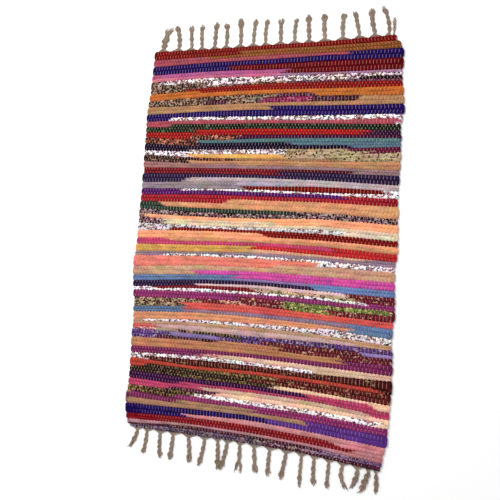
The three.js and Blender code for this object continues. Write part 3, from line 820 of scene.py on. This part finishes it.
# The fringe
# The warp's own ends, left long at both ends of the cloth. A handful of neighbours is drawn together beside
# the last pick, rolled by hand into a tassel, and left to open towards its cut tips, its two plies apart.
NECK_REACH = 7.5
YARN_SIDES = 4
YARN_HALF = 0.72
PLIES = 2
YARNS_IN_A_ROW = 4
TWIST_PITCH = 26.0
FRINGE_GAP = 1.7
PLY_SPREAD = 0.7
STRAY = 1.1
LEAST_TRIM, MOST_TRIM = -0.14, 0.05
TASSEL_POINTS, WEB_POINTS = 20, 8
OPENS_FROM = 0.3
TASSEL_HEIGHT = 2.4
LOWEST_YARN, HIGHEST_YARN = 0.75, 5.2
FAR_TASSELS = [
    # its root and its tip across, how far it reaches, its bow to the right, how far it forks, its thickness
    (-275, -261, 55, -4, 6, 2.0),
    (-234, -243, 59, 4, 1, 1.3),
    (-199, -204, 59, -1, 5, 1),
    (-172, -175, 57, -2, 1, 1),
    (-140, -138, 61, -1, 2, 1.1),
    (-111, -112, 56, 1, 2, 1),
    (-75, -79, 64, 1, 5, 1.1),
    (-43, -40, 60, -2, 2, 0.9),
    (-13, -12, 58, -3, 1, 0.9),
    (23, 20, 56, -1, 2, 1),
    (56, 57, 54, -3, 1, 0.9),
    (89, 84, 61, -1, 2, 1.1),
    (125, 120, 59, -2, 2, 1.1),
    (165, 164, 56, -3, 2, 1),
    (201, 187, 57, 0, 1, 0.9),
    (235, 223, 60, -3, 2, 1.1),
    (263, 247, 62, 4, 2, 0.9),
    (272, 271, 38, 1, 0, 0.7),
]
NEAR_TASSELS = [
    (-270, -290, 47, 2, 2, 1.1),
    (-246, -253, 56, 1, 2, 1),
    (-211, -208, 60, -2, 2, 1),
    (-177, -182, 60, 0, 2, 1.1),
    (-139, -132, 60, 1, 2, 1.1),
    (-97, -109, 64, 2, 1, 1),
    (-65, -61, 66, 0, 1, 1.1),
    (-41, -54, 65, 1, 1, 1.1),
    (-12, -12, 65, 1, 10, 1),
    (22, 29, 58, -1, 6, 1),
    (59, 57, 60, -1, 1, 0.9),
    (97, 87, 61, 0, 2, 1),
    (131, 130, 68, -1, 1, 0.8),
    (159, 161, 60, -2, 1, 0.9),
    (191, 190, 58, -1, 1, 0.8),
    (222, 229, 51, -8, 1, 0.9),
    (252, 240, 45, 3, 1, 1.1),
    (277, 261, 49, -1, 1, 1.5),
    (289, 291, 46, 1, 0, 1),
]


def yarn_path(start_x, edge, outward, tassel, number, count):
    """One yarn: from the cloth's edge along it to the neck, then rolled with its fellows to the tip."""
    root, tip, reach, bow, fork, size = tassel
    root_y = np.interp(root, across, edge) + outward * FRINGE_GAP
    ply = 1 if number % 2 else -1
    share = np.linspace(NECK_REACH / reach, 1 + chance.uniform(LEAST_TRIM, MOST_TRIM), TASSEL_POINTS)
    run = (share * reach - NECK_REACH) / (reach - NECK_REACH)
    turn = 2 * np.pi * (share * reach) / TWIST_PITCH + (0 if ply > 0 else np.pi)
    inner = 2 * np.pi * number / count - 1.6 * turn
    opening = np.clip((run - OPENS_FROM) / (1 - OPENS_FROM), 0, 1)
    swell = np.sqrt(np.clip(run, 0, 1))
    ply_radius = size * (1.5 + 1.5 * swell) * (1 - max(0.4, min(fork / 6, 1)) * opening)
    yarn_radius = size * (1.4 + 1.6 * swell) * (1 - 0.35 * opening ** 2)
    side = ply * opening * (0.9 * size + fork / 2) + opening * chance.normal(0, STRAY)
    middle = root + (tip - root) * share + bow * np.sin(np.pi * share)
    x = middle + side + ply_radius * np.cos(turn) + yarn_radius * np.cos(inner)
    y = root_y + outward * (reach * share)
    z = TASSEL_HEIGHT - 0.5 * opening + 0.5 * (ply_radius * np.sin(turn) + yarn_radius * np.sin(inner))
    start = np.array([start_x, np.interp(start_x, across, edge) - outward * 1.0, MIDDLE_HEIGHT])
    neck = np.array([x[0], y[0], z[0]])
    reach_out = start + np.array([0.12 * (root - start_x), outward * (2.0 + 0.7 * (number % 3)), -0.6])
    lean_in = neck - np.array([(root - start_x) * 0.12, outward * NECK_REACH * 0.5, -0.4])
    bend = np.linspace(0, 1, WEB_POINTS)[:-1, None]
    web = ((1 - bend) ** 3 * start + 3 * (1 - bend) ** 2 * bend * reach_out
           + 3 * (1 - bend) * bend ** 2 * lean_in + bend ** 3 * neck)
    path = np.vstack([web, np.column_stack([x, y, z])])
    taper = np.concatenate([np.ones(len(web)), 1 - 0.45 * np.clip((run - 0.85) / 0.15, 0, 1)])
    fluff = np.concatenate([np.ones(len(web)), 1 + 0.3 * np.clip(run, 0, 1)])
    half = YARN_HALF * (0.9 + 0.1 * size) * taper * fluff
    lift = np.clip(path[:, 2], LOWEST_YARN, HIGHEST_YARN)
    return {"x": path[:, 0], "y": path[:, 1], "lift": lift, "half_width": half, "half_height": half * 0.92}


for name, edge, outward, tassels in (
        ("far_yarns", pick_edges[0], 1, FAR_TASSELS), ("near_yarns", pick_edges[-1], -1, NEAR_TASSELS)):
    starts = np.array([float(warp_x(end, edge[across.size // 2])) for end in range(WARP_ENDS)])
    roots = np.array([tassel[0] for tassel in tassels])
    gathered = np.abs(starts[:, None] - roots).argmin(axis=1)
    yarns = []
    for which, tassel in enumerate(tassels):
        handful = np.repeat(starts[gathered == which], PLIES)
        handful = handful + chance.uniform(-PLY_SPREAD, PLY_SPREAD, handful.size)
        for number, start_x in enumerate(handful):
            yarns.append(yarn_path(start_x, edge, outward, tassel, number, handful.size))
    for place, yarn in enumerate(yarns):
        row, slot = divmod(place, YARNS_IN_A_ROW)
        yarn["row"] = np.full(yarn["x"].size, row)
        yarn["along"] = (slot + np.linspace(0, 0.9, yarn["x"].size)) / YARNS_IN_A_ROW
    cotton = cotton_material(name + "_cotton", math.ceil(len(yarns) / YARNS_IN_A_ROW), turns=100)
    fringe = thread(name, yarns, YARN_SIDES, crumple=0.12, crumple_scale=700.0, fullness=0.0,
                    material=cotton)
    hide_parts(name.replace("yarns", "fringe"))
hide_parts("woven_body")


# The length of each run of weft
# The three runs of weft are one cloth, held together by the warp, which ends in the fringe. Here each run's
# length is only worked out at the middle, and it is not used.
for name, (first_pick, last_pick) in RAG_BANDS.items():
    middle = across.size // 2
    length = (pick_edges[first_pick - 1, middle] - pick_edges[last_pick, middle]) * MM


# The floor, the light and the camera
# A plain white sweep under soft studio light, seen from above and a little from the rug's right side.
FLOOR_HALF = 4.0
EYE = (0.5244, -0.0627, 1.3452)
EYE_TURN = (3.446, 21.716, 4.121)
LENS, FILM = 46.8, 36.0
SKY_STRENGTH = 0.66
LAMP_PLACE, LAMP_TURN = (-1.0, 1.3, 2.2), (-30.5, -21.4, 0)
LAMP_SIZE, LAMP_POWER = 1.6, 56.0

floor_mesh = bpy.data.meshes.new("floor")
corners = [(x * FLOOR_HALF, y * FLOOR_HALF, 0) for x, y in ((-1, -1), (1, -1), (1, 1), (-1, 1))]
floor_mesh.from_pydata(corners, [], [(0, 1, 2, 3)])
floor = bpy.data.objects.new("floor", floor_mesh)
bpy.context.scene.collection.objects.link(floor)
paper = bpy.data.materials.new("white_sweep")
paper.use_nodes = True
tree = paper.node_tree
tree.nodes.clear()
tooth = add_node(tree, "ShaderNodeTexNoise", None, {
    "Vector": add_node(tree, "ShaderNodeTexCoord", out="Object"), "Scale": 3.0, "Detail": 2.0})
paint = add_node(tree, "ShaderNodeBsdfPrincipled", None, {
    "Base Color": mix_colour(tree, tooth, (0.95, 0.95, 0.95, 1), (0.97, 0.97, 0.97, 1)), "Roughness": 0.9})
add_node(tree, "ShaderNodeOutputMaterial", None, {"Surface": paint})
floor_mesh.materials.append(paper)

world = bpy.data.worlds.new("studio")
world.use_nodes = True
world.node_tree.nodes["Background"].inputs["Color"].default_value = (1.0, 1.0, 1.0, 1)
world.node_tree.nodes["Background"].inputs["Strength"].default_value = SKY_STRENGTH
bpy.context.scene.world = world
bpy.context.scene.view_settings.view_transform = "Standard"
lamp = bpy.data.lights.new("softbox", "AREA")
lamp.shape = "DISK"
lamp.size = LAMP_SIZE
lamp.energy = LAMP_POWER
softbox = bpy.data.objects.new("softbox", lamp)
softbox.location = LAMP_PLACE
softbox.rotation_euler = [math.radians(angle) for angle in LAMP_TURN]
bpy.context.scene.collection.objects.link(softbox)

camera = bpy.data.cameras.new("camera")
camera.lens, camera.sensor_width = LENS, FILM
camera.clip_end = 50
viewer = bpy.data.objects.new("camera", camera)
viewer.location = EYE
viewer.rotation_euler = [math.radians(angle) for angle in EYE_TURN]
bpy.context.scene.collection.objects.link(viewer)
bpy.context.scene.camera = viewer
